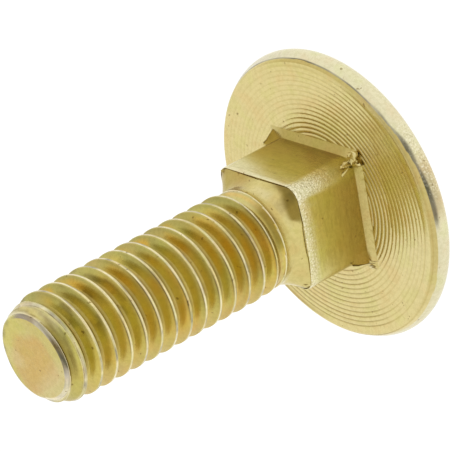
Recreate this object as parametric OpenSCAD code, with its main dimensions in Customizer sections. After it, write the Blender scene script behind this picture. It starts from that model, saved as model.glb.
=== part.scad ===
// Mushroom-head square-neck bolt, M6 x 20, cold headed in one piece with a rolled right-hand thread.
// The bolt stands on the crown of its head, with the crown at the origin and the shank pointing up +Z.

/* [Head] */
// Diameter over the rim
head_d = 16.2; // [15.4:0.1:16.6]
// Height from the crown of the dome up to the bearing face
head_h = 3.5; // [3.1:0.1:3.9]
// Radius of the rounded rim
rim_r = 0.6; // [0.45:0.05:0.7]
// Depth of the rim's widest circle under the bearing face
rim_drop = 0.7; // [0.65:0.05:0.9]
// Radius of the small lip where the bearing face turns over to the rim
lip_r = 0.25; // [0.15:0.05:0.35]
// How far the lip stays inside the rim's widest circle
lip_inset = 0.2; // [0.1:0.02:0.26]

/* [Bearing face] */
// Spacing of the turned ring grooves
ring_pitch = 0.267; // [0.2:0.01:0.4]
// Width of a ring groove, as a share of the spacing
ring_groove_share = 0.55; // [0.3:0.05:0.8]
// Depth of the ring grooves
ring_depth = 0.04; // [0.02:0.01:0.08]
// Radius of the innermost ring groove
ring_first_r = 3.64; // [3.2:0.01:3.8]
// Plain band left between the outermost groove and the lip
ring_margin = 0.05; // [0.02:0.01:0.3]

/* [Neck] */
// Width across the flats of the square neck
neck_w = 5.9; // [5.8:0.05:6.4]
// How far the neck sits off the bolt's axis along X, as forged
neck_x = -0.06; // [-0.1:0.01:0.1]
// How far the neck sits off the bolt's axis along Y, as forged
neck_y = 0.1; // [-0.1:0.01:0.1]
// Height of the neck above the bearing face
neck_h = 4.2; // [3.6:0.05:4.6]
// Rounding of the two long edges inside the dies
neck_round_r = 0.85; // [0.5:0.05:1.2]
// Rounding of the two long edges where the dies part
neck_part_r = 0.6; // [0.1:0.05:0.8]
// Width of the smooth strip round the foot of the neck
foot_w = 0.45; // [0.3:0.02:0.6]
// Height of that strip against the neck's flats
foot_h = 0.2; // [0.1:0.02:0.4]
// Height of the flash fins at the foot of the edges where the dies part
fin_h = 1.1; // [0.5:0.1:1.5]
// Thickness of those fins
fin_w = 0.16; // [0.1:0.02:0.3]

/* [Flare from the square neck to the round shank] */
// Ledge left round the front of the neck
ledge_w = 0.06; // [0.03:0.01:0.1]
// Length of the flare
flare_l = 0.9; // [0.7:0.05:1.2]
// How hollow the flare is, with 1 for a straight one
flare_hollow = 1.25; // [1:0.05:1.8]

/* [Shank and thread] */
// Length from the bearing face to the tip
bolt_l = 20.15; // [16:0.05:30]
// Diameter over the thread crests
thread_d = 5.84; // [5.79:0.01:5.97]
// Thread pitch
pitch = 1; // [0.9:0.05:1.1]
// Flat left on the crests, as a share of the pitch
crest_flat = 0.15; // [0.1:0.01:0.2]
// Flat at the bottom of the groove, as a share of the pitch
root_flat = 0.18; // [0.1:0.01:0.25]
// Height of a crest over the bearing face in the +X direction, in pitches
crest_phase = 0.196; // [0:0.01:0.99]
// Length of the plain shank between the flare and the shoulder edge, where the thread dies out
plain_l = 0.36; // [0.15:0.01:0.6]
// Diameter at the shoulder edge
shoulder_d = 5.56; // [5.4:0.02:5.7]
// Turns over which the thread groove dies out
runout_turns = 0.75; // [0.5:0.25:1.5]
// Diameter at the edge of the tip
tip_d = 4.84; // [4.4:0.02:5.2]
// Length over which the thread crests taper toward the tip
taper_l = 1.35; // [0.6:0.05:2]
// Bevel round the flat tip face
tip_bevel = 0.12; // [0.05:0.01:0.3]

/* [Hidden] */

eps = 0.01;
round_steps = 96;
thread_steps = 24;
corner_steps = 6;
flat_steps = 8;
flare_steps = 5;

head_r = head_d / 2;
neck_half = neck_w / 2;
shoulder_r = shoulder_d / 2;
thread_r = thread_d / 2;
tip_r = tip_d / 2;

// Heights above the crown
bearing_z = head_h;
rim_z = head_h - rim_drop;
flare_z = head_h + neck_h;
shoulder_z = flare_z + flare_l + plain_l;
tip_z = head_h + bolt_l;

// Centres of the arcs in the head's half section
rim_c = [head_r - rim_r, rim_z];
lip_c = [head_r - lip_inset - lip_r, bearing_z - lip_r];

// The dome is the arc through the crown that runs tangent into the rim
dome_r = (pow(rim_c.x, 2) + pow(rim_z, 2) - pow(rim_r, 2)) / (2 * (rim_z - rim_r));
dome_edge_r = rim_c.x * dome_r / (dome_r - rim_r);

ring_last_r = lip_c.x - ring_margin;
ring_count = floor((ring_last_r - ring_first_r) / ring_pitch);

// A 60 degree thread: the groove is as deep as its flats leave room for
flank_rise = tan(30);
thread_depth = pitch * (1 - crest_flat - root_flat) / (2 * flank_rise);
cutter_r = thread_r + 0.1;
groove_start_z = shoulder_z + 0.2 * pitch;
groove_start_a = 360 * ((groove_start_z - bearing_z) / pitch - crest_phase - 0.5);
groove_turns = ceil((tip_z - groove_start_z) / pitch) + 1;

// The straight band that joins two circles on their outer side
function tangent_band(c1, r1, c2, r2) =
    let (
        d = norm(c2 - c1),
        lean = atan2(c2.y - c1.y, c2.x - c1.x) + 90 + asin((r2 - r1) / d),
        out = [cos(lean), sin(lean)]
    )
    [c1, c1 + r1 * out, c2 + r2 * out, c2];

// Half section of the head, from the crown up to the bearing face
module head_section() {
    intersection() {
        translate([0, dome_r]) circle(r = dome_r, $fn = round_steps);
        square([dome_edge_r, rim_z]);
    }
    translate(rim_c) circle(r = rim_r, $fn = round_steps);
    translate(lip_c) circle(r = lip_r, $fn = round_steps);
    polygon(tangent_band(lip_c, lip_r, rim_c, rim_r));
    translate([0, rim_z]) square([lip_c.x, rim_drop]);
}

// Half section of one ring groove, with its point at radius r
module ring_groove_section(r) {
    half = ring_pitch * ring_groove_share / 2;
    lift = 1 + eps / ring_depth;
    translate([r, bearing_z])
        polygon([[-half * lift, eps], [0, -ring_depth], [half * lift, eps]]);
}

module head() {
    rotate_extrude($fn = round_steps)
        difference() {
            head_section();
            for (i = [0:ring_count])
                ring_groove_section(ring_first_r + i * ring_pitch);
        }
}

// The neck's corners, anticlockwise from +X +Y: which way they point, and their rounding
neck_corners = [
    [[1, 1], neck_round_r],
    [[-1, 1], neck_part_r],
    [[-1, -1], neck_round_r],
    [[1, -1], neck_part_r]
];

// Exact section of the neck
module neck_section() {
    difference() {
        square(neck_w, center = true);
        for (corner = neck_corners)
            translate(corner[0] * neck_half)
                difference() {
                    square(2 * corner[1], center = true);
                    translate(-corner[0] * corner[1]) circle(r = corner[1], $fn = round_steps);
                }
    }
}

module neck() {
    translate([neck_x, neck_y, rim_z])
        linear_extrude(flare_z - rim_z) neck_section();
}

// Smooth strip that fills the ring grooves next to the neck and slopes up to it
module foot() {
    sink = 2 * ring_depth;
    low = neck_half + foot_w + foot_w / foot_h * sink;
    translate([neck_x, neck_y, bearing_z])
        polyhedron(
            points = [
                for (level = [[low, -sink], [neck_half, foot_h]])
                    for (corner = neck_corners)
                        [corner[0].x * level[0], corner[0].y * level[0], level[1]]
            ],
            faces = [[0, 1, 2, 3], [7, 6, 5, 4], [0, 4, 5, 1], [1, 5, 6, 2], [2, 6, 7, 3], [3, 7, 4, 0]]
        );
}

// Thin web of flash from the neck's edge at a corner out to the edge of the strip, in the direction a
module fin(corner, a) {
    edge = sqrt(2) * neck_half - (sqrt(2) - 1) * neck_part_r;
    middle = corner * (edge - fin_w) / sqrt(2);
    reach = foot_w + fin_w;
    translate([neck_x + middle.x, neck_y + middle.y, bearing_z])
        rotate([90, 0, a])
            linear_extrude(fin_w, center = true)
                polygon([
                    [-fin_w, -2 * ring_depth],
                    [reach, -2 * ring_depth],
                    [reach, 2 * ring_depth],
                    [fin_w, fin_h],
                    [-fin_w, fin_h]
                ]);
}

// Points round the front of the neck, set in from its sides by the ledge
flare_outline = [
    for (i = [0:3])
        let (
            reach = neck_half - ledge_w,
            corner = neck_corners[i],
            next = neck_corners[(i + 1) % 4],
            r = corner[1] - ledge_w,
            next_r = next[1] - ledge_w,
            centre = [neck_x, neck_y] + corner[0] * (reach - r),
            next_centre = [neck_x, neck_y] + next[0] * (reach - next_r),
            side = [cos(90 * (i + 1)), sin(90 * (i + 1))],
            flat_start = centre + r * side,
            flat = next_centre + next_r * side - flat_start
        )
        each concat(
            [for (j = [0:corner_steps - 1])
                let (a = 90 * (i + j / corner_steps)) centre + r * [cos(a), sin(a)]],
            [for (j = [0:flat_steps - 1]) flat_start + flat * j / flat_steps]
        )
];

// The flare: rings of points that shrink from the front of the neck to a circle inside the shank
module flare() {
    count = len(flare_outline);
    inner_r = shoulder_r - 0.03;
    levels = concat([0], [for (i = [0:flare_steps]) i / flare_steps]);
    rings = [
        for (k = [0:len(levels) - 1], p = flare_outline)
            let (
                t = levels[k],
                out = norm(p) - inner_r,
                r = inner_r + out * pow(1 - t, flare_hollow),
                z = k == 0 ? flare_z - neck_h / 4 : flare_z + flare_l * t
            )
            [p.x * r / norm(p), p.y * r / norm(p), z]
    ];
    sides = [
        for (i = [0:len(levels) - 2], j = [0:count - 1])
            let (a = i * count + j, b = i * count + (j + 1) % count)
            each [[a, b + count, b], [a, a + count, b + count]]
    ];
    top = (len(levels) - 1) * count;
    middles = [[0, 0, flare_z - neck_h / 4], [0, 0, flare_z]];
    ends = [
        for (j = [0:count - 1])
            let (next = (j + 1) % count)
            each [[j, next, len(rings)], [top + next, top + j, len(rings) + 1]]
    ];
    polyhedron(points = concat(rings, middles), faces = concat(sides, ends), convexity = 4);
}

// Half section of the shank before its thread is cut
module shank_section() {
    polygon([
        [0, flare_z - eps],
        [shoulder_r, flare_z - eps],
        [shoulder_r, shoulder_z],
        [thread_r, shoulder_z + pitch],
        [thread_r, tip_z - taper_l],
        [tip_r, tip_z - tip_bevel],
        [tip_r - tip_bevel, tip_z],
        [0, tip_z]
    ]);
}

// The space that the thread groove takes up: a trapezoid swept up a right-hand helix.
// It starts outside the shank and reaches its full depth after the run-out.
module thread_groove() {
    sections = groove_turns * thread_steps;
    points = [
        for (i = [0:sections])
            let (
                turn = i / thread_steps,
                a = groove_start_a + 360 * turn,
                z = groove_start_z + pitch * turn,
                root_r = thread_r + eps - (thread_depth + eps) * min(1, turn / runout_turns),
                root_half = pitch * root_flat / 2,
                mouth_half = root_half + (cutter_r - root_r) * flank_rise
            )
            for (p = [
                [root_r, -root_half],
                [cutter_r, -mouth_half],
                [cutter_r, mouth_half],
                [root_r, root_half]
            ])
                [p.x * cos(a), p.x * sin(a), z + p.y]
    ];
    sides = [
        for (i = [0:sections - 1], j = [0:3])
            let (a = 4 * i + j, b = 4 * i + (j + 1) % 4)
            each [[a, b, b + 4], [a, b + 4, a + 4]]
    ];
    ends = [[3, 2, 1, 0], [for (j = [0:3]) 4 * sections + j]];
    polyhedron(points = points, faces = concat(sides, ends), convexity = 20);
}

module shank() {
    difference() {
        rotate_extrude($fn = round_steps) shank_section();
        thread_groove();
    }
}

module carriage_bolt() {
    color([0.80, 0.72, 0.42]) {
        head();
        foot();
        neck();
        fin(neck_corners[1][0], 132);
        fin(neck_corners[3][0], -29);
        flare();
        shank();
    }
}

carriage_bolt();
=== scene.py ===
"""Looks for a mushroom-head square-neck bolt in yellow passivated zinc, standing on its head."""
import math

import bmesh
import bpy
import numpy as np
from mathutils import Matrix, Vector


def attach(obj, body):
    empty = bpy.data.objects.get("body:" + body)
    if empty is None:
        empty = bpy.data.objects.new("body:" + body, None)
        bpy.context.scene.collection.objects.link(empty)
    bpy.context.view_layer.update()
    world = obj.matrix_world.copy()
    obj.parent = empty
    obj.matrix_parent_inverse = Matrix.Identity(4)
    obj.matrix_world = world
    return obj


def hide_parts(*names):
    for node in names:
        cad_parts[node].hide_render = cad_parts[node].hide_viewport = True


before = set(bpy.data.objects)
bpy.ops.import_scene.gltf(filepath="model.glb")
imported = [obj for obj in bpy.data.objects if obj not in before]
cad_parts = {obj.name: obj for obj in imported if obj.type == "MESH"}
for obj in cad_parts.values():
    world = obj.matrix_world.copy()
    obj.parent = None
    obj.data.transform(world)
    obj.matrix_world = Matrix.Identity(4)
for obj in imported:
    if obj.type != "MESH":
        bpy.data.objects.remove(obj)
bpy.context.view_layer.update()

MM = 0.001

# Sizes of the bolt in millimetres, the same as in the part's source
HEAD_D = 16.2
HEAD_H = 3.5
RIM_R = 0.6
RIM_DROP = 0.7
LIP_R = 0.25
LIP_INSET = 0.2
RING_PITCH = 0.267
RING_SHARE = 0.55
RING_DEPTH = 0.04
RING_FIRST_R = 3.64
RING_MARGIN = 0.05
NECK_W = 5.9
NECK_AT = (-0.06, 0.1)
NECK_H = 4.2
FOOT_W = 0.45
FOOT_H = 0.2
LEDGE_W = 0.06
FLARE_L = 0.9
FLARE_HOLLOW = 1.25
PLAIN_L = 0.36
BOLT_L = 20.15
THREAD_D = 5.84
PITCH = 1.0
CREST_FLAT = 0.15
CREST_PHASE = 0.196
ROOT_R = 0.16
SHOULDER_D = 5.56
TIP_D = 4.84
TAPER_L = 1.35

# Radii of the corners of the neck and of its foot strip: the one toward the camera, then round by the left
NECK_CORNERS = (0.85, 0.6, 0.85, 0.7)
FOOT_CORNERS = (0.3, 0.1, 0.3, 0.1)

# Small forms that only the looks have
TIP_EDGE = 0.2
LEDGE_DROP = 0.06
RING_AT = (-0.1, 0.06)
TIP_LEAN = 0.12
SEAM_DEPTH = 0.03

# Heights over the crown, and the radius where the bearing face ends
BEARING_Z = HEAD_H
RIM_Z = HEAD_H - RIM_DROP
FLARE_Z = HEAD_H + NECK_H
SHOULDER_Z = FLARE_Z + FLARE_L + PLAIN_L
TIP_Z = HEAD_H + BOLT_L
EDGE_Z = TIP_Z - TIP_EDGE
FACE_R = HEAD_D / 2 - LIP_INSET - LIP_R

# Columns of the mesh in degrees: how far apart, and where they lie at each degree for the neck's seen corners
COLUMN_STEP = 2
FINE_COLUMNS = ((30, 62), (124, 146), (304, 326))

# Rows of the mesh: across one ring groove and up the foot strip and the neck as shares, and across one
# turn of thread in pitches from the crest
RING_KNOTS = (0, 0.13, 0.275, 0.5, 0.725, 0.87)
FOOT_KNOTS = (0.4, 0.8, 0.93, 1)
NECK_KNOTS = (0.08, 0.25, 0.45, 0.65, 0.8, 0.92, 0.985)
THREAD_KNOTS = (-0.5, -0.43, -0.36, -0.28, -0.2, -0.12, -0.075, -0.03,
                0, 0.03, 0.075, 0.12, 0.2, 0.28, 0.36, 0.43)

# Rows of the mesh round the tip: angles over its edge in degrees, then radii on its face
TIP_TURNS = (12, 25, 38, 52, 66, 80, 90)
TIP_RADII = (TIP_D / 2 - 0.4, 1.85, 1.65, 1.45, 1.2, 0.9, 0.6, 0.3)

# Flash along the two edges of the neck where the dies part
LEFT_FLASH = ((-2.93, 3.03, 4.6), (-3.0, 3.08, 4.3), (-3.13, 3.2, 3.95), (-3.26, 3.34, 3.54))
LOW_FLASH = ((2.83, -2.62, 4.75), (2.85, -2.78, 4.4), (2.86, -2.88, 4.0), (2.95, -2.93, 3.72),
             (3.3, -2.9, 3.62))

# What a point of the mesh is part of
SKIN, WEB, SEAM, CHIP = range(4)

# Colours of the plating, as light reflects from it once. Several are also laid as painted light: SHADE as
# painted shade, BROWN and DEEP_GOLD also as painted shade and dark reflection, PALE and CREAM also as painted
# highlights
GOLD = (0.72, 0.61, 0.28)
DEEP_GOLD = (0.46, 0.34, 0.09)
OLIVE = (0.56, 0.47, 0.14)
AMBER = (0.68, 0.41, 0.05)
LIME = (0.62, 0.55, 0.15)
TAN = (0.60, 0.43, 0.15)
PALE = (0.78, 0.71, 0.45)
SILVER = (0.76, 0.71, 0.48)
CREAM = (0.86, 0.78, 0.52)
LILAC = (0.52, 0.47, 0.42)
GREY = (0.30, 0.27, 0.19)
SHADE = (0.26, 0.19, 0.035)
BROWN = (0.16, 0.11, 0.03)
# The darkest tone, laid only as painted shade and painted dark reflection
DARK_SHADE = (0.11, 0.10, 0.06)
MOSS = (0.33, 0.31, 0.09)
ROUGHNESS = 0.27

# Camera, round the bolt's axis and turned about its own line of sight: degrees and millimetres
CAMERA_AZIMUTH = 30.573
CAMERA_ELEVATION = 33.956
CAMERA_ROLL = 118.374
CAMERA_AIM = (-0.618, 1.046, 9.813)
CAMERA_DISTANCE = 197.6
CAMERA_LENS = 307.1

# Light of the tent, and of the darker gap in it: where it is, and how far it reaches, in degrees
TENT_LIGHT = 1.05
GAP_LIGHT = 0.8
GAP_AZIMUTH = 55
GAP_ELEVATION = 70
GAP_OUTER = 34
GAP_INNER = 16

# Floor, which glows so that it stays near white under the bolt
FLOOR_SIZE = 4
FLOOR_TONE = 0.15
FLOOR_GLOW = 0.95


def arc(centre, radius, start, end, steps):
    """Points on an arc, from angle start to angle end in degrees."""
    a = np.radians(np.linspace(start, end, steps))
    return np.c_[centre[0] + radius * np.cos(a), centre[1] + radius * np.sin(a)]


def smooth_min(a, b, k):
    """The lower of a and b, with the corner between them rounded over k."""
    h = np.clip(0.5 + 0.5 * (b - a) / k, 0, 1)
    return b * (1 - h) + a * h - k * h * (1 - h)


def ramp(x, low, high):
    """Climbs smoothly from 0 at low to 1 at high."""
    t = np.clip((x - low) / (high - low), 0, 1)
    return t * t * (3 - 2 * t)


def fall(x, low, high):
    """Falls smoothly from 1 at low to 0 at high."""
    return 1 - ramp(x, low, high)


def span(x, low, full, fade, end):
    """Climbs from 0 at low to 1 at full, and falls from 1 at fade to 0 at end."""
    return ramp(x, low, full) * fall(x, fade, end)


def bump(x, middle, reach):
    """1 at the middle, falling softly to 0 at this distance from it."""
    return fall(np.abs(x - middle), 0.3 * reach, reach)


def waves(x, y, seed):
    """Soft irregular waves between about -1 and 1."""
    rng = np.random.default_rng(seed)
    total = np.zeros(np.broadcast(x, y).shape)
    for _ in range(6):
        kx, ky = rng.normal(0, 1, 2)
        total = total + np.sin(kx * x + ky * y + rng.uniform(0, 2 * math.pi))
    return total / 3


def signed(angle):
    """The same direction, as an angle between -pi and pi."""
    return (angle + math.pi) % (2 * math.pi) - math.pi


def toward(azimuth, elevation):
    """The direction at this azimuth and elevation in degrees."""
    turn, lift = math.radians(azimuth), math.radians(elevation)
    return Vector((math.cos(turn) * math.cos(lift), math.sin(turn) * math.cos(lift), math.sin(lift)))


class Rows:
    """Collects rows of points round the axis, each with a radius and a height for every column."""

    def __init__(self):
        degrees = set(range(0, 360, COLUMN_STEP))
        for low, high in FINE_COLUMNS:
            degrees |= set(range(low, high))
        self.angle = np.radians(sorted(degrees))
        self.rows = []

    def add(self, radius, height):
        ones = np.ones(len(self.angle))
        self.rows.append(np.c_[radius * ones, height * ones])

    def profile(self, points):
        for r, z in points:
            self.add(r, z)

    def points(self):
        """All points, row after row."""
        rows = np.array(self.rows)
        x = rows[:, :, 0] * np.cos(self.angle)
        y = rows[:, :, 0] * np.sin(self.angle)
        return list(np.stack([x, y, rows[:, :, 1]], -1).reshape(-1, 3))


def square_radius(angle, half, corner_radii):
    """Distance from the axis to the off-centre square of the neck, in each direction."""
    d = np.array([np.cos(angle), np.sin(angle)])
    centre = np.array(NECK_AT)[:, None]
    with np.errstate(divide="ignore"):
        reach = (np.sign(d) * half + centre) / d
    best = reach.min(0)
    for corner, r in zip(((1, 1), (-1, 1), (-1, -1), (1, -1)), corner_radii):
        way = np.array(corner)[:, None]
        c = centre + way * (half - r)
        along = (d * c).sum(0)
        root = along + np.sqrt(np.maximum(r * r - (c * c).sum() + along ** 2, 0))
        rounded = ((d * root - c) * way > 0).all(0)
        best = np.where(rounded, root, best)
    return best


def neck_radius(angle, inset=0.0):
    """Distance from the axis to the flats of the neck."""
    return square_radius(angle, NECK_W / 2 - inset, [r - inset for r in NECK_CORNERS])


def foot_radius(angle):
    """Distance from the axis to the outside of the strip at the foot of the neck."""
    return square_radius(angle, NECK_W / 2 + FOOT_W, FOOT_CORNERS)


def head_rows(mesh):
    """Dome, rounded rim, the cone above it and the lip, from the crown to the bearing face."""
    rim_c = (HEAD_D / 2 - RIM_R, RIM_Z)
    lip_c = (FACE_R, BEARING_Z - LIP_R)
    dome_r = (rim_c[0] ** 2 + rim_c[1] ** 2 - RIM_R ** 2) / (2 * (rim_c[1] - RIM_R))
    edge = math.degrees(math.asin(rim_c[0] / (dome_r - RIM_R)))
    mesh.profile(arc((0, dome_r), dome_r, -90, -90 + edge, 22)[1:-1])
    d = math.dist(lip_c, rim_c)
    cone = math.degrees(math.atan2(rim_c[1] - lip_c[1], rim_c[0] - lip_c[0]))
    lean = cone + 90 + math.degrees(math.asin((RIM_R - LIP_R) / d))
    rim, lip = arc(rim_c, RIM_R, edge - 90, lean, 18), arc(lip_c, LIP_R, lean, 90, 8)
    mesh.profile(rim)
    mesh.profile(np.linspace(rim[-1], lip[0], 8)[1:-1])
    mesh.profile(lip)


def ring_shift(angle):
    """How far a ring lies out from its own radius, in each direction."""
    return RING_AT[0] * np.cos(angle) + RING_AT[1] * np.sin(angle)


def ring_groove(r, angle):
    """Depth of the turned grooves at a place on the bearing face."""
    r = r - ring_shift(angle) - RING_FIRST_R
    off = np.abs(r - np.round(r / RING_PITCH) * RING_PITCH) / (RING_PITCH * RING_SHARE / 2)
    return RING_DEPTH * np.clip(1 - off, 0, 1)


def ring_strength(r, angle):
    """How crisp the turned rings are: most beside the neck, least at the side that faces -X."""
    near = fall(r - foot_radius(angle), 0.3, 2.2)
    side = ramp(angle, -1.2, -0.2) * fall(angle, 1.6, 2.2)
    low = span(-angle, 0.7, 1.2, 2.1, 2.6)
    return np.clip(0.3 + side * (0.25 + 0.5 * near) + 0.6 * low, 0, 1)


def bearing_rows(mesh):
    """The ringed underside of the head, in to the foot of the neck."""
    foot = foot_radius(mesh.angle)
    turn = signed(mesh.angle)
    outermost = math.floor((FACE_R - RING_MARGIN - RING_FIRST_R) / RING_PITCH)
    last = min(FACE_R - RING_MARGIN / 2, RING_FIRST_R + (outermost + RING_SHARE / 2) * RING_PITCH)
    # The rings go on to the foot's flats, which lie nearer to the axis than the first whole ring
    for ring in range(outermost, -3, -1):
        for knot in RING_KNOTS:
            r = RING_FIRST_R + RING_PITCH * (ring + RING_SHARE / 2 - knot) + ring_shift(mesh.angle)
            r = np.clip(r, foot, last)
            fade = np.clip((r - foot) / 0.1, 0, 1) * np.clip((FACE_R - r) / 0.05, 0, 1)
            mesh.add(r, BEARING_Z - ring_groove(r, turn) * fade * ring_strength(r, turn))


def front_height(angle):
    """Height of the neck's front edge: a little lower in the middle of the side that faces +X."""
    return FLARE_Z - 0.1 * fall(np.abs(signed(angle)), 0.3, 0.75)


def neck_rows(mesh):
    """The foot strip, the square neck and the ledge at its front."""
    neck, foot = neck_radius(mesh.angle), foot_radius(mesh.angle)
    for s in FOOT_KNOTS:
        mesh.add(foot + (neck - foot) * s, BEARING_Z + FOOT_H * s)
    low = BEARING_Z + FOOT_H
    front = front_height(mesh.angle)
    for s in NECK_KNOTS:
        mesh.add(neck, low + (front - low) * s)
    mesh.add(neck - 0.015, front)
    mesh.add(neck - 0.05, front)
    mesh.add(neck - LEDGE_W, front - LEDGE_DROP)


def flare_rows(mesh):
    """The hollow flare from the neck to the shank, then the plain shank."""
    # The hollow aims a little inside the shank, so that it meets it at a slight angle
    inner = SHOULDER_D / 2 - 0.03
    out = neck_radius(mesh.angle, LEDGE_W) - inner
    low = front_height(mesh.angle)
    for t in np.linspace(0, 1, 12):
        r = inner + out * (1 - t) ** FLARE_HOLLOW - 0.04 * fall(t, 0, 0.08)
        z = low + (FLARE_Z + FLARE_L - low) * t
        mesh.add(np.maximum(r, SHOULDER_D / 2 - 0.001), np.minimum(z, SHOULDER_Z - 0.06))
    mesh.add(SHOULDER_D / 2, SHOULDER_Z - 0.04)
    mesh.add(SHOULDER_D / 2 + 0.012, SHOULDER_Z - 0.015)


def crest_offset(z, angle):
    """Distance along the axis from the nearest crest of the helix, positive toward the tip."""
    u = (z - HEAD_H) / PITCH - CREST_PHASE - angle / (2 * math.pi)
    return (u - np.round(u)) * PITCH


def taper_cut(z, angle):
    """How much the taper at the tip takes off the crests. The tip leans a little off the axis."""
    lean = TIP_LEAN * np.cos(angle - 0.4)
    return ((THREAD_D - TIP_D) / 2 - lean) * np.clip((z - TIP_Z + TAPER_L) / TAPER_L, 0, 1)


def thread_radius(z, angle):
    """Radius of the thread at a height and in a direction: flat crest, straight flanks and round root."""
    u = np.abs(crest_offset(z, angle))
    slope = math.sqrt(3)
    half_crest = CREST_FLAT * PITCH / 2
    half_root = ROOT_R * math.cos(math.pi / 6)
    to_root = np.abs(0.5 * PITCH - u)
    deepest = (0.5 * PITCH - half_root - half_crest) * slope + ROOT_R / 2
    straight = np.clip((u - half_crest) * slope, 0, None)
    rounded = deepest - ROOT_R + np.sqrt(np.maximum(ROOT_R ** 2 - to_root ** 2, 0))
    depth = np.where(to_root < half_root, rounded, straight)
    runout = ramp((z - SHOULDER_Z) / PITCH, 0, 1.15)
    cut = taper_cut(z, angle)
    r = smooth_min(THREAD_D / 2 - depth * (0.12 + 0.88 * runout), THREAD_D / 2 - cut, 0.05)
    # Rolling leaves an open seam along the crest, which is widest over the taper
    opened = ramp(waves(3 * angle, 1.3 * z, 4), -0.2, 0.5)
    smeared = ramp(waves(1.5 * angle, z, 9), -0.9, 0.2)
    seam = SEAM_DEPTH * opened + 0.45 * cut * smeared
    return r - seam * np.clip(1 - u / (SEAM_DEPTH + 0.45 * cut), 0, 1)


def shank_rows(mesh):
    """The threaded length. Returns the first and last row that follow the helix."""
    start = len(mesh.rows)
    first = math.floor((SHOULDER_Z - HEAD_H) / PITCH) - 2
    last = math.ceil(BOLT_L / PITCH) + 2
    spiral = mesh.angle / (2 * math.pi)
    for turn in range(first, last):
        for knot in THREAD_KNOTS:
            z = np.clip(HEAD_H + PITCH * (turn + knot + CREST_PHASE + spiral), SHOULDER_Z, EDGE_Z)
            rise = np.clip((z - SHOULDER_Z) / PITCH, 0, 1)
            r = thread_radius(z, mesh.angle) - (THREAD_D - SHOULDER_D) / 2 * (1 - rise)
            mesh.add(np.where(z <= SHOULDER_Z, SHOULDER_D / 2, r), z)
    return start, len(mesh.rows) - 1


def tip_rows(mesh):
    """The rounded edge and the flat face at the tip."""
    edge = mesh.rows[-1][:, 0]
    for turn in TIP_TURNS:
        a = math.radians(turn)
        mesh.add(edge - TIP_EDGE * (1 - math.cos(a)), TIP_Z - TIP_EDGE * (1 - math.sin(a)))
    for r in TIP_RADII:
        mesh.add(r, TIP_Z)


def skin(count, columns, start, end):
    """Faces between neighbouring rows and columns. Rows from start to end climb one pitch in a turn."""
    faces = []
    climb = len(THREAD_KNOTS)
    for j in range(count - 1):
        for i in range(columns):
            n = (i + 1) % columns
            low, high = j, j + 1
            if n == 0 and start <= j <= end:
                low = min(j + climb, end)
            if n == 0 and start <= j + 1 <= end:
                high = min(j + 1 + climb, end)
            faces.append((j * columns + i, low * columns + n, high * columns + n, (j + 1) * columns + i))
    crown, tip = count * columns, count * columns + 1
    top = (count - 1) * columns
    for i in range(columns):
        n = (i + 1) % columns
        faces.append((crown, n, i))
        faces.append((top + i, top + n, tip))
    return faces


def flake(points, faces, spine, width, thick):
    """Adds a torn flake: a closed sliver along the spine, this wide to either side, narrowing to its end."""
    spine = np.array(spine, float)
    width = np.array(width, float)
    base = len(points)
    for k, p in enumerate(spine):
        along = spine[min(k + 1, len(spine) - 1)] - spine[max(k - 1, 0)]
        taper = 1 - 0.85 * k / (len(spine) - 1)
        up = np.cross(along, width)
        up = up / np.linalg.norm(up) * thick * taper
        w = width * taper
        points += [p - w, p + up, p + w, p - up]
    for k in range(len(spine) - 1):
        for j in range(4):
            a, b = base + 4 * k + j, base + 4 * k + (j + 1) % 4
            faces.append((a, b, b + 4, a + 4))
    last = base + 4 * (len(spine) - 1)
    faces.append((base + 3, base + 2, base + 1, base))
    faces.append((last, last + 1, last + 2, last + 3))


def web(points, faces, outline, offset):
    """Adds a thin flat web of flash inside an outline, with this offset between its two sides."""
    outline = np.array(outline)
    base, count = len(points), len(outline)
    points += list(outline) + list(outline + np.array(offset))
    faces.append(tuple(base + i for i in reversed(range(count))))
    faces.append(tuple(base + count + i for i in range(count)))
    for i in range(count):
        n = (i + 1) % count
        faces.append((base + i, base + n, base + count + n, base + count + i))


def crumple(points, faces, centre, size, seed):
    """Adds a crumpled lump of metal: a closed ball with sharp folds."""
    around, up = 16, 9
    base = len(points)
    for i in range(up + 1):
        lift = -math.pi / 2 + math.pi * (i + 0.5) / (up + 1)
        for j in range(around):
            turn = 2 * math.pi * j / around
            way = np.array([math.cos(lift) * math.cos(turn), math.cos(lift) * math.sin(turn), math.sin(lift)])
            folds = 1 + 0.4 * waves(3.2 * way[0] + 1.7 * way[2], 3.2 * way[1] - 1.2 * way[2], seed)
            points.append(np.array(centre) + way * np.array(size) * folds)
    for i in range(up):
        for j in range(around):
            n = (j + 1) % around
            faces.append((base + i * around + j, base + i * around + n,
                          base + (i + 1) * around + n, base + (i + 1) * around + j))
    faces.append(tuple(base + j for j in reversed(range(around))))
    faces.append(tuple(base + up * around + j for j in range(around)))


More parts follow.
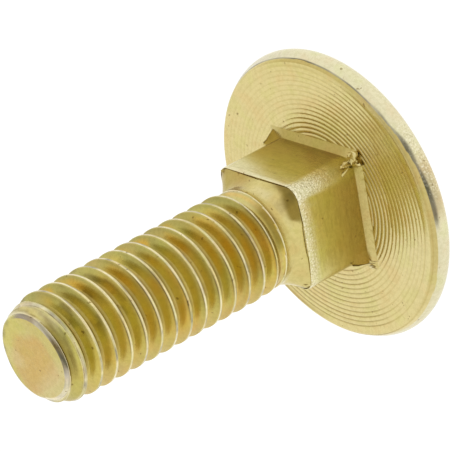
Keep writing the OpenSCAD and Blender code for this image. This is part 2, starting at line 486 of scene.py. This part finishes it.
def add_flakes(points, faces):
    """Flash and torn flakes that the heading dies left at the neck's corners. Returns each point's kind."""
    z = BEARING_Z
    kinds = [SKIN] * len(points)

    def mark(kind):
        kinds.extend([kind] * (len(points) - len(kinds)))

    # Webs of flash at the foot of the two edges where the dies part, and the ragged seam along each
    low_web = [(x - 0.09, y, h) for x, y, h in LOW_FLASH[:4]]
    web(points, faces, [(-2.3, 2.9, z), (-2.4, 2.9, z + 1.1), *LEFT_FLASH], (-0.04, -0.1, 0))
    web(points, faces, [(2.78, -2.0, z), (2.78, -2.0, z + 1.0), *low_web], (0.09, 0, 0))
    mark(WEB)
    flake(points, faces, LEFT_FLASH, (-0.04, -0.04, -0.02), 0.04)
    flake(points, faces, LOW_FLASH, (0.03, -0.05, 0.02), 0.06)
    mark(SEAM)
    crumple(points, faces, (2.95, -3.2, z + 0.07), (0.17, 0.1, 0.08), 5)
    mark(CHIP)
    # Crumpled metal at the foot of the rounded corner
    crumple(points, faces, (3.02, 3.2, z + 0.25), (0.3, 0.34, 0.2), 21)
    crumple(points, faces, (3.15, 2.85, z + 0.22), (0.26, 0.22, 0.16), 33)
    crumple(points, faces, (2.8, 2.9, z + 0.55), (0.2, 0.14, 0.28), 14)
    for spine, width, thick in (
            ([(2.62, 2.72, z + 0.85), (2.8, 2.92, z + 0.7), (2.98, 3.12, z + 0.5)], (0.06, 0.0, 0.1), 0.1),
            ([(2.84, 2.42, z + 1.0), (2.92, 2.58, z + 0.8), (3.0, 2.78, z + 0.6)], (0.07, -0.02, 0.08), 0.09),
            ([(2.85, 3.1, z + 0.45), (2.98, 3.35, z + 0.5), (3.1, 3.6, z + 0.3)], (0.1, 0.0, 0.06), 0.09)):
        flake(points, faces, spine, width, thick)
    # Burrs at the two ends of the neck's front edge
    burr = [(2.7, -2.45, FLARE_Z - 0.1), (2.6, -2.5, FLARE_Z + 0.1), (2.45, -2.5, FLARE_Z + 0.25)]
    flake(points, faces, burr, (0.1, 0.16, 0.0), 0.09)
    crumple(points, faces, (-2.62, 2.72, FLARE_Z - 0.08), (0.22, 0.2, 0.22), 8)
    mark(SKIN)
    return np.array(kinds)


class Plating:
    """Colour and wear at every point: pale where rubbed, with brown spots and strokes, painted shade and dark
    reflection in hollows, under edges and near the neck, and painted highlights along edges and crests.

    Each method paints one part of the bolt over what was laid before. Places are in millimetres and angles
    in radians from +X. The camera looks from 0.5, the neck's rounded corner is at 0.8, and the edges where
    the dies part are at 2.4 and -0.8.
    """

    def __init__(self, points, kind):
        self.x, self.y, self.z = points.T
        self.r = np.hypot(self.x, self.y)
        self.a = np.arctan2(self.y, self.x)
        self.kind = kind
        self.over = self.z - BEARING_Z
        self.foot_r = foot_radius(self.a)
        self.neck_r = neck_radius(self.a)
        self.front_z = front_height(self.a)
        self.ahead = crest_offset(self.z, self.a)
        self.cut = taper_cut(self.z, self.a)
        self.on_thread = (self.z > SHOULDER_Z + 0.01) & (self.z < EDGE_Z + 0.01)
        self.on_taper = self.on_thread * ramp(self.cut, 0.05, 0.2)
        self.on_tip = self.z > EDGE_Z + 0.01
        self.colour = np.tile(GOLD, (len(points), 1))
        self.worn = np.zeros(len(points))
        self.brushed = np.zeros(len(points))
        for paint in (self.rim, self.bearing_face, self.foot_strip, self.neck, self.flare, self.flanks,
                      self.first_turn, self.taper, self.crests, self.tip, self.tip_edge):
            paint()

    def lay(self, tone, share):
        """Lays this share of a tone over the colour at each point."""
        self.colour += (np.array(tone) - self.colour) * np.clip(share, 0, 1)[:, None]

    def wear(self, share):
        """Marks points as rubbed rough, by at least this share."""
        self.worn = np.maximum(self.worn, share)

    def mottle(self, per_radian, per_mm, seed):
        """Waves between about -1 and 1 round and along the bolt, at these rates."""
        return waves(per_radian * self.a, per_mm * self.z, seed)

    def patches(self, per_radian, per_mm, seed, low, high):
        """Patches round and along the bolt: 0 where the waves are under low, 1 where they are over high."""
        return ramp(self.mottle(per_radian, per_mm, seed), low, high)

    def rim(self):
        """Rubbed to silver outside a border, which lies lower on the side that faces +X, with painted shade
        across it at 0.3 and a painted dark reflection along the border.
        """
        z, a, lay, mottle = self.z, self.a, self.lay, self.mottle
        border = 0.18 * span(a, 0.3, 0.95, 2.2, 2.6) - 0.18 * ramp(-a, 1.6, 2.2) - 0.27
        border = np.where(np.abs(a) > 2.2, -0.09, border + 0.02 * mottle(12, 0, 23))
        past = border - self.over
        rim = (self.r > HEAD_D / 2 - 1.2) & (past > 0)
        self.on_rim = rim
        lay(SILVER, rim * ramp(z, RIM_Z - 0.9, RIM_Z - 0.3) * 0.9)
        lay(LILAC, rim * ramp(a, 1.5, 2.0) * fall(past, 0.25, 0.6) * 0.3)
        lay(GREY, rim * fall(a, -0.2, 0.1) * 0.06)
        # Painted shade across the rim at 0.3, in tan and grey
        lay(TAN, rim * bump(a, 0.3, 0.3) * 0.45)
        lay(GREY, rim * bump(a, 0.27, 0.25) * fall(past, 0.35, 0.75) * 0.35)
        # A painted dark reflection follows the border, patchy like a scuff, and a thin broken line of it
        # carries it on
        width = 0.12 + 0.06 * bump(a, 0.6, 0.2) + 0.1 * bump(a, 0.24, 0.25) + 0.03 * mottle(13, 0, 25)
        border_reflection = rim * span(a, -0.02, 0.12, 0.75, 1.0) * fall(past, 0.6 * width, 1.3 * width)
        lay(GREY, border_reflection * (0.9 + 0.3 * mottle(14, 6, 7)))
        lay(DARK_SHADE, border_reflection * (0.75 + 0.4 * mottle(17, 9, 24)))
        thin = rim * span(a, 0.85, 1.0, 2.3, 2.7) * fall(past, 0.03, 0.08)
        lay(GREY, thin * (0.85 + 0.4 * mottle(9, 0, 27)))
        lay(DARK_SHADE, thin * (0.3 + 0.5 * mottle(15, 0, 29)))
        self.wear(rim * (0.2 + 0.3 * ramp(past, width, 1.6 * width)) * span(a, 0.1, 0.3, 0.6, 0.9))

    def bearing_face(self):
        """Darker toward the neck as a painted dark reflection of it, lighter toward +X as painted light, and
        painted shade in the turned grooves where they are crisp.
        """
        r, a, lay = self.r, self.a, self.lay
        face = (np.abs(self.over) < 0.3) & (r > self.foot_r - 0.005) & ~self.on_rim & (self.kind == SKIN)
        near = fall(r - self.foot_r, 0.1, 2.8)
        side = span(a, -1.0, 0.1, 1.65, 2.2)
        # Painted light toward +X, weaker near the neck
        lay(PALE, face * side * (1 - 0.5 * near) * ramp(self.x, 1, 4) * 0.3)
        lay(LIME, face * side * ramp(r, 6.6, 7.5) * 0.2)
        lay(DEEP_GOLD, face * side * (r > FACE_R + 0.01) * 0.55)
        # Painted dark reflection of the neck on the face beside it
        lay(DEEP_GOLD, face * near * bump(a, 1.5, 0.6) * 0.2)
        crisp = ring_strength(r, a)
        # Painted shade in the turned grooves, strongest where they are crisp
        groove = face * ramp(ring_groove(r, a), 0.2 * RING_DEPTH, 0.85 * RING_DEPTH)
        lay(DEEP_GOLD, groove * crisp * (0.5 + 0.25 * crisp + 0.25 * waves(2 * a, 9 * r, 10)))
        lay(BROWN, groove * ramp(crisp, 0.75, 1.0) * 0.35)

    def foot_strip(self):
        """Painted deepest under the flat that faces +Y, as shade and the dark reflection of the neck, with
        the flash seams painted brown as the shadow along them, and the pale chip of the flash.
        """
        x, y, lay = self.x, self.y, self.lay
        strip = (self.over > -0.02) & (self.r > self.neck_r - 0.01) & (self.r < self.foot_r + 0.02)
        # Painted shade and dark reflection of the neck, deepest on the side that faces +Y
        lay(DEEP_GOLD, strip * (0.06 + 0.8 * ramp(y - x, -0.5, 1.5)) * (1 - 0.85 * ramp(-x, 2.3, 3.2)))
        lay(DEEP_GOLD, strip * (x > y) * 0.3)
        lay(OLIVE, strip * 0.2)
        lay(SHADE, strip * span(self.a, 0.9, 1.0, 2.7, 2.8) * 0.25)
        # The flash seams are painted brown as the shadow along them, in spots along the left one
        left_seam = 0.4 + 0.45 * np.cos(15 * (self.z - 4.5))
        lay(BROWN, (self.kind == SEAM) * np.where(x < 0, left_seam, 0.95))
        lay(PALE, (self.kind == CHIP) * 0.7)

    def neck(self):
        """Painted dark reflection deepening toward its foot, pale along its front edges and on the rough
        rounded corner, and painted shade in the crease under the front ledge.
        """
        x, y, z, over, lay = self.x, self.y, self.z, self.over, self.lay
        on_flats = (over > FOOT_H - 0.03) & (z < self.front_z + 0.01) & (np.abs(self.r - self.neck_r) < 0.03)
        neck = (on_flats & (self.kind == SKIN)) | (self.kind == WEB)
        self.brushed = neck.astype(float)
        lay(LIME, neck * ramp(over, 0.6, 2.2) * 0.75)
        # Painted dark reflection, deepening toward the foot
        lay(DEEP_GOLD, neck * fall(over, 0.2, 3.6) * 0.76)
        cloud = z - 6.35 - 0.15 * (x + 2.8) + 0.25 * waves(2.5 * x, 2 * z, 31)
        lay(SILVER, neck * (y > x) * ramp(cloud, -0.7, 0.7) * 0.55)
        # Distance from the rounded corner, along either flat
        off = np.hypot(np.maximum(NECK_W / 2 + NECK_AT[0] - x, 0), np.maximum(NECK_W / 2 + NECK_AT[1] - y, 0))
        corner = neck * fall(off + 0.1 * waves(5 * x + 5 * y, 6 * z, 3), 0.6, 0.95) * ramp(over, 0.4, 3.2)
        edge = neck * (x > 2) * ramp(over + 0.1 * waves(6 * y, 4 * z, 5), NECK_H - 0.85, NECK_H - 0.4)
        front = neck * ramp(over, NECK_H - 0.3, NECK_H - 0.1)
        lay(LIME, neck * fall(off, 0.7, 1.1) * fall(over, 1.5, 3) * 0.5)
        lay(PALE, neck * (x > y) * ramp(-y, 0.8, 2.4) * ramp(over, 0.8, 2.6) * 0.25)
        lay(PALE, np.maximum(corner, 0.7 * np.maximum(edge, front)))
        lay(SILVER, corner * ramp(over, 1.8, 3.6) * 0.7)
        self.wear(np.maximum(0.8 * corner, 0.7 * edge))
        inside = self.neck_r - self.r
        # Painted shade in the crease under the front ledge
        crease = (np.abs(z - self.front_z + LEDGE_DROP) < 0.025) & (inside > 0.03) & (inside < 0.12)
        lay(BROWN, crease * (0.6 + 0.3 * self.mottle(4, 0, 17)))

    def flare(self):
        """Painted shade under the neck's rounded corner and its front edge, deep gold to its left, painted
        highlights as a pale stripe and a cream spot, and a painted highlight along the shoulder.
        """
        z, a, lay = self.z, self.a, self.lay
        flare = (z > self.front_z - 0.01) & (z < SHOULDER_Z - 0.02) & (self.r < self.neck_r - 0.03)
        climb = (z - self.front_z) / FLARE_L
        lay(OLIVE, flare * 0.5)
        reach = 0.57 * span(a, 0.34, 0.54, 0.7, 1.35) + 0.05 * self.mottle(6, 0, 28)
        lay(SHADE, flare * span(a, 0.25, 0.5, 1.0, 1.45) * fall(climb, reach - 0.16, reach + 0.14) * 0.95)
        # Painted shade under the neck's front edge
        lay(BROWN, flare * span(a, 0.6, 0.85, 1.0, 1.35) * fall(climb, 0.08, 0.3) * 0.5)
        # Painted highlight: a pale stripe across the flare
        lay(PALE, flare * fall(np.abs(climb - 0.72), 0.05, 0.2) * span(a, 0.15, 0.35, 1.1, 1.4) * 0.1)
        lay(DEEP_GOLD, flare * ramp(climb, 0.85, 1.0) * span(a, 0.1, 0.4, 0.9, 1.2) * 0.35)
        lay(DEEP_GOLD, flare * span(a, 0.9, 1.1, 1.3, 1.5) * 0.2)
        lay(SHADE, flare * ramp(a, 1.4, 1.8) * 0.2)
        # Painted shade under the front edge toward the left
        lay(BROWN, flare * ramp(a, 2.2, 2.3) * fall(climb, 0.05, 0.25) * 0.8)
        lay(DEEP_GOLD, flare * ramp(a, 1.45, 1.9) * (0.75 + 0.25 * self.mottle(3, 3, 2)))
        # Painted highlights: a cream spot, and a cream line along the shoulder
        lay(CREAM, flare * span(a, 0.95, 1.15, 1.3, 1.6) * fall(np.abs(z - 8.35), 0.1, 0.4) * 0.25)
        lay(CREAM, (np.abs(z - SHOULDER_Z + 0.01) < 0.03) * 0.8)

    def flanks(self):
        """From each crest toward the tip a dark seam with painted shade beside it, patches of amber, lime and
        moss, and painted shade in the root and on the flank that faces the head.
        """
        z, a, ahead = self.z, self.a, self.ahead
        lay, mottle, patches = self.lay, self.mottle, self.patches
        flank = self.on_thread * ramp(np.abs(ahead), 0.05, 0.1)
        later = z - SHOULDER_Z > PITCH
        hue = ramp(0.6 * np.cos(a - 0.3) + 0.35 * mottle(1.7, 0.9, 8), 0.0, 0.75)
        lay(OLIVE, flank)
        lay(LIME, flank * (1 - hue) * patches(2, 1.1, 41, -0.6, 0.6) * 0.7)
        lay(AMBER, flank * (0.15 + 0.85 * hue) * span(ahead, 0.05, 0.14, 0.34, 0.5))
        lay(DEEP_GOLD, flank * ramp(a, 0.2, 1.0) * (0.35 - 0.3 * ramp(z, 10, 16)))
        lay(TAN, flank * patches(2.1, 1.6, 55, -0.1, 0.7) * fall(a, 0.4, 1.0) * 0.45)
        middle = flank * span(ahead, 0.12, 0.22, 0.3, 0.42)
        lay(LIME, middle * patches(1.9, 1.7, 43, -0.3, 0.6) * (0.75 - 0.5 * ramp(a, 0.8, 1.4)))
        lay(MOSS, flank * later * ramp(a, 1.0, 1.5) * 0.55)
        lay(TAN, flank * ramp(a, 1.2, 1.8) * patches(2, 2.1, 49, -0.4, 0.6) * 0.4)
        lay(AMBER, flank * span(ahead, 0.1, 0.2, 0.32, 0.45) * patches(2.3, 1.9, 44, -0.1, 0.6) * 0.75)
        # Painted shade on the flank that faces the head
        lay(DEEP_GOLD, flank * (ahead < 0) * ramp(a, -0.9, -0.1) * 0.2)
        lay(GOLD, flank * bump(ahead, 0.3, 0.16) * patches(2.2, 1.5, 58, -0.5, 0.5) * fall(a, 0.8, 1.2) * 0.5)
        lay(AMBER, flank * bump(ahead, 0.27, 0.16) * patches(3.1, 2.3, 60, 0.0, 0.6) * 0.75)
        lay(LIME, flank * ramp(ahead, 0.05, 0.1) * patches(2.7, 2.9, 69, 0.1, 0.6) * 0.5)
        lay(MOSS, flank * bump(ahead, 0.15, 0.12) * patches(1.8, 1.3, 57, -0.5, 0.4) * 0.4)
        # Toward the tip the tints turn lime, with mossy and brown spots
        lay(LIME, flank * ramp(z, 11, 14) * fall(a, 0.6, 1.2) * 0.25)
        lay(LIME, flank * ramp(z, 16, 20) * fall(a, 0.6, 1.2) * 0.25)
        lay(MOSS, flank * ramp(z, 17, 20) * patches(4, 5, 54, 0.3, 0.7) * 0.25)
        lay(BROWN, flank * ramp(z, 17, 20) * patches(5, 7, 56, 0.5, 0.8) * ramp(a, 0.2, 0.6) * 0.5)
        # Painted shade in the root
        root = flank * later * ramp(np.abs(ahead), 0.37, 0.43)
        lay(DEEP_GOLD, root * ramp(a, -0.8, 0) * 0.8)
        lay(BROWN, root * ramp(a, -0.6, 0.1) * (0.38 + 0.2 * mottle(3, 2, 48)))
        lay(TAN, flank * span(-a, 0.2, 0.9, 1.6, 2.2) * 0.6)
        # Painted shade beside the seam
        seam_shade = self.on_thread * span(ahead, 0.06, 0.09, 0.1, 0.16) * ramp(a, -0.6, 0.1)
        lay(BROWN, seam_shade * (0.12 + 0.2 * mottle(2.5, 1.5, 42)))
        seam = self.on_thread * patches(2.2, 1.4, 45, -0.7, 0.2) * span(a, -0.5, 0.1, 0.9, 1.4)
        lay(BROWN, seam * (np.abs(ahead - 0.075) < 0.02) * 0.95)
        lay(BROWN, seam * (np.abs(ahead - 0.12) < 0.02) * 0.2)
        lay(SHADE, flank * span(-ahead, 0.05, 0.1, 0.2, 0.36) * (0.25 - 0.1 * ramp(z, 12, 18)))

    def first_turn(self):
        """Next to the shoulder: painted shade toward the camera, and a painted highlight where the groove
        comes in.
        """
        a, ahead, lay = self.a, self.ahead, self.lay
        past = self.z - SHOULDER_Z
        threaded = past > 0.03
        lay(SHADE, threaded * span(a, -0.1, 0.3, 0.8, 1.3) * fall(past, 0.3, 0.52) * 0.9)
        lay(TAN, threaded * (past < 1) * (ahead < 0) * ramp(-a, -0.1, 0.3) * 0.5)
        # Painted highlight along the first crest
        before = span(ahead, -0.32, -0.24, 0, 0.05)
        lay(PALE, self.on_thread * (past < 1.3) * before * ramp(a, 0.1, 0.5) * 0.75)
        lay(PALE, threaded * fall(past, 0.7, 0.9) * span(a, 0.9, 1.2, 1.7, 2) * 0.25)

    def taper(self):
        """Moss and lime, with brown strokes."""
        a, taper, lay = self.a, self.on_taper, self.lay
        lay(MOSS, taper * (0.45 + 0.25 * self.mottle(2, 3, 50)))
        lay(DEEP_GOLD, taper * ramp(-a, 0.2, 0.8) * 0.5)
        lay(LIME, taper * (0.4 + 0.3 * self.mottle(3, 4, 59)))
        lay(BROWN, taper * self.patches(2.5, 22, 53, 0.1, 0.6) * ramp(a, -0.6, 0.2) * 0.5)

    def crests(self):
        """A painted highlight along each crest as a cream line that widens toward the tip, with grey painted
        shade behind it and smears on the taper.
        """
        z, a, ahead, thread = self.z, self.a, self.ahead, self.on_thread
        lay, mottle, patches = self.lay, self.mottle, self.patches
        wide = 0.015 + 0.03 * ramp(z, 12, 22) + 0.15 * self.cut
        # Painted highlight along the crests
        crest = thread * fall(np.abs(ahead), wide, wide + 0.035)
        lay(CREAM, crest * np.clip(0.65 + 0.45 * mottle(9, 3, 19), 0.2, 1))
        # Grey painted shade just behind each crest
        lay(GREY, thread * (ahead < -0.02) * (ahead > -0.1) * (0.1 + 0.45 * mottle(11, 4, 46)))
        lay(GREY, crest * patches(3, 1.1, 12, 0.0, 0.8) * (0.4 + 0.4 * mottle(16, 5, 47)))
        smears = ramp(waves(6 * a, 7 * ahead, 51), 0.1, 0.7)
        lay(GREY, self.on_taper * smears * fall(np.abs(ahead), 0.1, 0.25) * 0.6)
        lay(CREAM, self.on_taper * patches(1.5, 18, 52, -0.1, 0.4) * ramp(a, 0.5, 1.0) * 0.3)
        # Painted shade over the taper toward the camera, and a painted highlight line at the foot of the
        # tip's edge
        lay(SHADE, thread * ramp(z, TIP_Z - 0.6, TIP_Z - 0.42) * span(a, -0.8, -0.2, 0.9, 1.3) * 0.75)
        lay(CREAM, thread * ramp(z, EDGE_Z - 0.1, EDGE_Z - 0.04) * ramp(a, -1.2, -0.8) * 0.7)

    def tip(self):
        """Tan in the middle, and greenish to the left."""
        x, y, tip, lay = self.x, self.y, self.on_tip, self.lay
        uneven = 0.35 * waves(1.1 * x, 1.1 * y, 61)
        lay(OLIVE, tip * 0.8)
        lay(LIME, tip * ramp(-x + 0.3 * y, 0.4, 1.6) * 0.7)
        lay(TAN, tip * fall(np.hypot(x - 0.3, y + 0.2) + uneven, 1.5, 1.9))
        lay(AMBER, tip * fall(np.hypot(x - 0.2, y - 0.1) + uneven, 0.9, 1.7) * 0.15)
        lay(PALE, tip * ramp(x - y, 1.0, 2.4) * 0.25)
        lay(PALE, tip * ramp(waves(1.6 * x, 1.6 * y, 62), 0.2, 0.9) * 0.2)
        self.wear(0.06 * tip)

    def tip_edge(self):
        """Scuffed lilac and grey, cream at its foot, with a painted dark reflection toward the camera and
        painted shade along its outline and far side.
        """
        a, lay, mottle = self.a, self.lay, self.mottle
        edge = self.on_tip * (self.z < TIP_Z - 0.002) * fall(np.abs(a - 0.3), 1.5, 1.9)
        lay(LILAC, edge * (0.75 + 0.25 * mottle(7, 0, 64)))
        lay(CREAM, edge * fall(a, -0.35, -0.05) * (0.75 + 0.3 * mottle(6, 20, 65)))
        lay(GREY, edge * self.patches(4, 12, 63, -0.1, 0.7) * 0.6)
        # Painted dark reflection toward the camera, and painted shade along the outline and far side
        lay(BROWN, edge * span(a, -0.1, 0.15, 0.5, 0.9) * (0.8 + 0.3 * mottle(9, 14, 66)))
        lay(BROWN, edge * span(a, 1.2, 1.4, 2.0, 2.4) * 0.5)
        lay(DARK_SHADE, edge * bump(a, 0.2, 0.4) * (0.45 + 0.4 * mottle(12, 16, 67)))
        lay(DARK_SHADE, self.on_tip * (self.r > 2.1) * ramp(np.abs(a), 2.2, 2.5) * (0.5 + 0.4 * mottle(8, 0, 68)))


def sharpen_foot(data, spots):
    """Keeps the shading of the strip at the neck's foot apart from that of the rings beside it."""
    foot = foot_radius(np.arctan2(spots[:, 1], spots[:, 0]))
    on_foot = np.abs(np.hypot(spots[:, 0], spots[:, 1]) - foot) < 0.002
    on_foot &= np.abs(spots[:, 2] - BEARING_Z) < 0.002
    ends = np.empty(len(data.edges) * 2, int)
    data.edges.foreach_get("vertices", ends)
    sharp = np.empty(len(data.edges), bool)
    data.edges.foreach_get("use_edge_sharp", sharp)
    data.edges.foreach_set("use_edge_sharp", sharp | on_foot[ends].reshape(-1, 2).all(1))


def merge_points(data):
    """Joins points that lie together, as at the ends of the helix, and takes out faces left without area."""
    work = bmesh.new()
    work.from_mesh(data)
    bmesh.ops.remove_doubles(work, verts=work.verts, dist=0.0005 * MM)
    bmesh.ops.dissolve_degenerate(work, dist=0.0005 * MM, edges=work.edges)
    work.to_mesh(data)
    work.free()


def bolt_mesh():
    """One closed skin for the whole bolt, with its flakes as closed slivers sunk into it."""
    mesh = Rows()
    head_rows(mesh)
    bearing_rows(mesh)
    neck_rows(mesh)
    flare_rows(mesh)
    start, end = shank_rows(mesh)
    tip_rows(mesh)
    points = mesh.points() + [np.array([0, 0, 0]), np.array([0, 0, TIP_Z])]
    faces = skin(len(mesh.rows), len(mesh.angle), start, end)
    kinds = add_flakes(points, faces)
    data = bpy.data.meshes.new("bolt")
    data.from_pydata((np.array(points) * MM).tolist(), [], faces)
    # The kinds go through the merge as an attribute, and come back in its order of points
    data.attributes.new("kind", "INT", "POINT").data.foreach_set("value", kinds)
    merge_points(data)
    data.shade_smooth()
    data.set_sharp_from_angle(angle=math.radians(42))
    spots = np.empty(len(data.vertices) * 3)
    data.vertices.foreach_get("co", spots)
    spots = spots.reshape(-1, 3) / MM
    sharpen_foot(data, spots)
    kinds = np.empty(len(spots), np.int32)
    data.attributes["kind"].data.foreach_get("value", kinds)
    data.attributes.remove(data.attributes["kind"])
    paint = Plating(spots, kinds)
    tones = data.color_attributes.new("plating", "FLOAT_COLOR", "POINT")
    tones.data.foreach_set("color", np.c_[paint.colour, np.ones(len(spots))].ravel())
    for name, values in (("worn", paint.worn), ("brushed", paint.brushed)):
        data.attributes.new(name, "FLOAT", "POINT").data.foreach_set("value", values)
    return data


class Shading:
    """Shorthand for building one material from nodes."""

    def __init__(self, name):
        self.material = bpy.data.materials.new(name)
        self.material.use_nodes = True
        self.nodes = self.material.node_tree.nodes
        self.links = self.material.node_tree.links
        self.shader = self.nodes["Principled BSDF"]
        self.where = self.nodes.new("ShaderNodeTexCoord").outputs["Object"]

    def attribute(self, name, output="Fac"):
        node = self.nodes.new("ShaderNodeAttribute")
        node.attribute_name = name
        return node.outputs[output]

    def noise(self, per_mm, detail=2.0, squeeze=1.0):
        """Cloudy values about 0.5, with this many clouds to the millimetre, squeezed along the axis."""
        where = self.nodes.new("ShaderNodeVectorMath")
        where.operation = "MULTIPLY"
        where.inputs[1].default_value = (1, 1, squeeze)
        self.links.new(self.where, where.inputs[0])
        node = self.nodes.new("ShaderNodeTexNoise")
        node.inputs["Scale"].default_value = per_mm / MM
        node.inputs["Detail"].default_value = detail
        self.links.new(where.outputs["Vector"], node.inputs["Vector"])
        return node.outputs["Fac"]

    def between(self, value, low, high, start=0.0, end=1.0):
        """Maps a value from low and high to start and end."""
        node = self.nodes.new("ShaderNodeMapRange")
        node.interpolation_type = "SMOOTHSTEP"
        for name, number in (("From Min", low), ("From Max", high), ("To Min", start), ("To Max", end)):
            node.inputs[name].default_value = number
        self.links.new(value, node.inputs["Value"])
        return node.outputs["Result"]

    def multiply(self, a, b):
        node = self.nodes.new("ShaderNodeMath")
        node.operation = "MULTIPLY"
        self.links.new(a, node.inputs[0])
        self.links.new(b, node.inputs[1])
        return node.outputs[0]

    def mix(self, blend, share, under, tone):
        """Blends a tone over the colour under it."""
        node = self.nodes.new("ShaderNodeMix")
        node.data_type = "RGBA"
        node.blend_type = blend
        self.links.new(share, node.inputs["Factor"])
        self.links.new(under, node.inputs[6])
        node.inputs[7].default_value = (*tone, 1)
        return node.outputs[2]


def plated_steel():
    """Yellow passivated zinc on steel: the painted tones, with cloudy tints, grain and specks."""
    m = Shading("yellow_zinc")
    worn = m.attribute("worn")
    clouds = m.noise(0.8, 3)
    grain = m.noise(10, 3)
    streaks = m.multiply(m.between(m.noise(1.1, 4, 7), 0.46, 0.62), m.attribute("brushed"))
    colour = m.attribute("plating", "Color")
    for share, tone in (
            (m.between(clouds, 0.52, 0.68), (1.0, 0.95, 0.93)),
            (m.between(clouds, 0.48, 0.34), (0.97, 1.0, 0.92)),
            (m.between(m.noise(5, 4), 0.42, 0.62), (0.93, 0.925, 0.89)),
            (m.between(m.noise(3.2, 2), 0.70, 0.74), (0.55, 0.50, 0.40)),
            (streaks, (0.91, 0.905, 0.87))):
        colour = m.mix("MULTIPLY", share, colour, tone)
    colour = m.mix("MIX", m.multiply(m.between(grain, 0.52, 0.66), worn), colour, (0.92, 0.88, 0.68))
    colour = m.mix("MULTIPLY", m.multiply(m.between(grain, 0.46, 0.34), worn), colour, (0.62, 0.60, 0.52))
    m.links.new(colour, m.shader.inputs["Base Color"])
    m.shader.inputs["Roughness"].default_value = ROUGHNESS
    m.shader.inputs["Metallic"].default_value = 1
    relief = m.nodes.new("ShaderNodeBump")
    relief.inputs["Distance"].default_value = 0.02 * MM
    m.links.new(m.between(worn, 0, 1, 0.1, 0.65), relief.inputs["Strength"])
    m.links.new(grain, relief.inputs["Height"])
    m.links.new(relief.outputs["Normal"], m.shader.inputs["Normal"])
    return m.material


def make_bolt():
    bolt = bpy.data.objects.new("bolt_body", bolt_mesh())
    bpy.context.scene.collection.objects.link(bolt)
    bolt.data.materials.append(plated_steel())
    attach(bolt, "root")
    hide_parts("carriage_bolt")


def make_floor():
    bpy.ops.mesh.primitive_plane_add(size=FLOOR_SIZE)
    floor = bpy.context.object
    floor.name = "floor"
    material = bpy.data.materials.new("pale_floor")
    material.use_nodes = True
    shader = material.node_tree.nodes["Principled BSDF"]
    shader.inputs["Base Color"].default_value = (FLOOR_TONE, FLOOR_TONE, FLOOR_TONE, 1)
    shader.inputs["Roughness"].default_value = 1
    shader.inputs["Specular IOR Level"].default_value = 0
    shader.inputs["Emission Color"].default_value = (1, 1, 1, 1)
    shader.inputs["Emission Strength"].default_value = FLOOR_GLOW
    floor.data.materials.append(material)


def make_camera():
    """Looks at the shank from in front of its tip, turned so that the tip points down to the left."""
    data = bpy.data.cameras.new("camera")
    data.sensor_width = 36
    data.lens = CAMERA_LENS
    data.clip_start, data.clip_end = 0.01, 10
    camera = bpy.data.objects.new("camera", data)
    back = toward(CAMERA_AZIMUTH, CAMERA_ELEVATION)
    upright = (-back).to_track_quat("-Z", "Y").to_matrix()
    roll = Matrix.Rotation(-math.radians(CAMERA_ROLL), 3, back)
    place = Matrix.Translation((Vector(CAMERA_AIM) + back * CAMERA_DISTANCE) * MM)
    camera.matrix_world = place @ (roll @ upright).to_4x4()
    bpy.context.scene.collection.objects.link(camera)
    bpy.context.scene.camera = camera


def make_light():
    """A white tent all round, with a darker gap over the camera."""
    scene = bpy.context.scene
    scene.view_settings.view_transform = "Standard"
    world = bpy.data.worlds.new("studio")
    world.use_nodes = True
    nodes, links = world.node_tree.nodes, world.node_tree.links
    background = nodes["Background"]
    background.inputs["Color"].default_value = (1, 1, 1, 1)
    where = nodes.new("ShaderNodeTexCoord")
    facing = nodes.new("ShaderNodeVectorMath")
    facing.operation = "DOT_PRODUCT"
    facing.inputs[1].default_value = toward(GAP_AZIMUTH, GAP_ELEVATION)
    tent = nodes.new("ShaderNodeMapRange")
    tent.interpolation_type = "SMOOTHSTEP"
    tent.inputs["From Min"].default_value = math.cos(math.radians(GAP_OUTER))
    tent.inputs["From Max"].default_value = math.cos(math.radians(GAP_INNER))
    tent.inputs["To Min"].default_value = TENT_LIGHT
    tent.inputs["To Max"].default_value = GAP_LIGHT
    links.new(where.outputs["Generated"], facing.inputs[0])
    links.new(facing.outputs["Value"], tent.inputs["Value"])
    links.new(tent.outputs["Result"], background.inputs["Strength"])
    scene.world = world


make_camera()
make_bolt()
make_floor()
make_light()
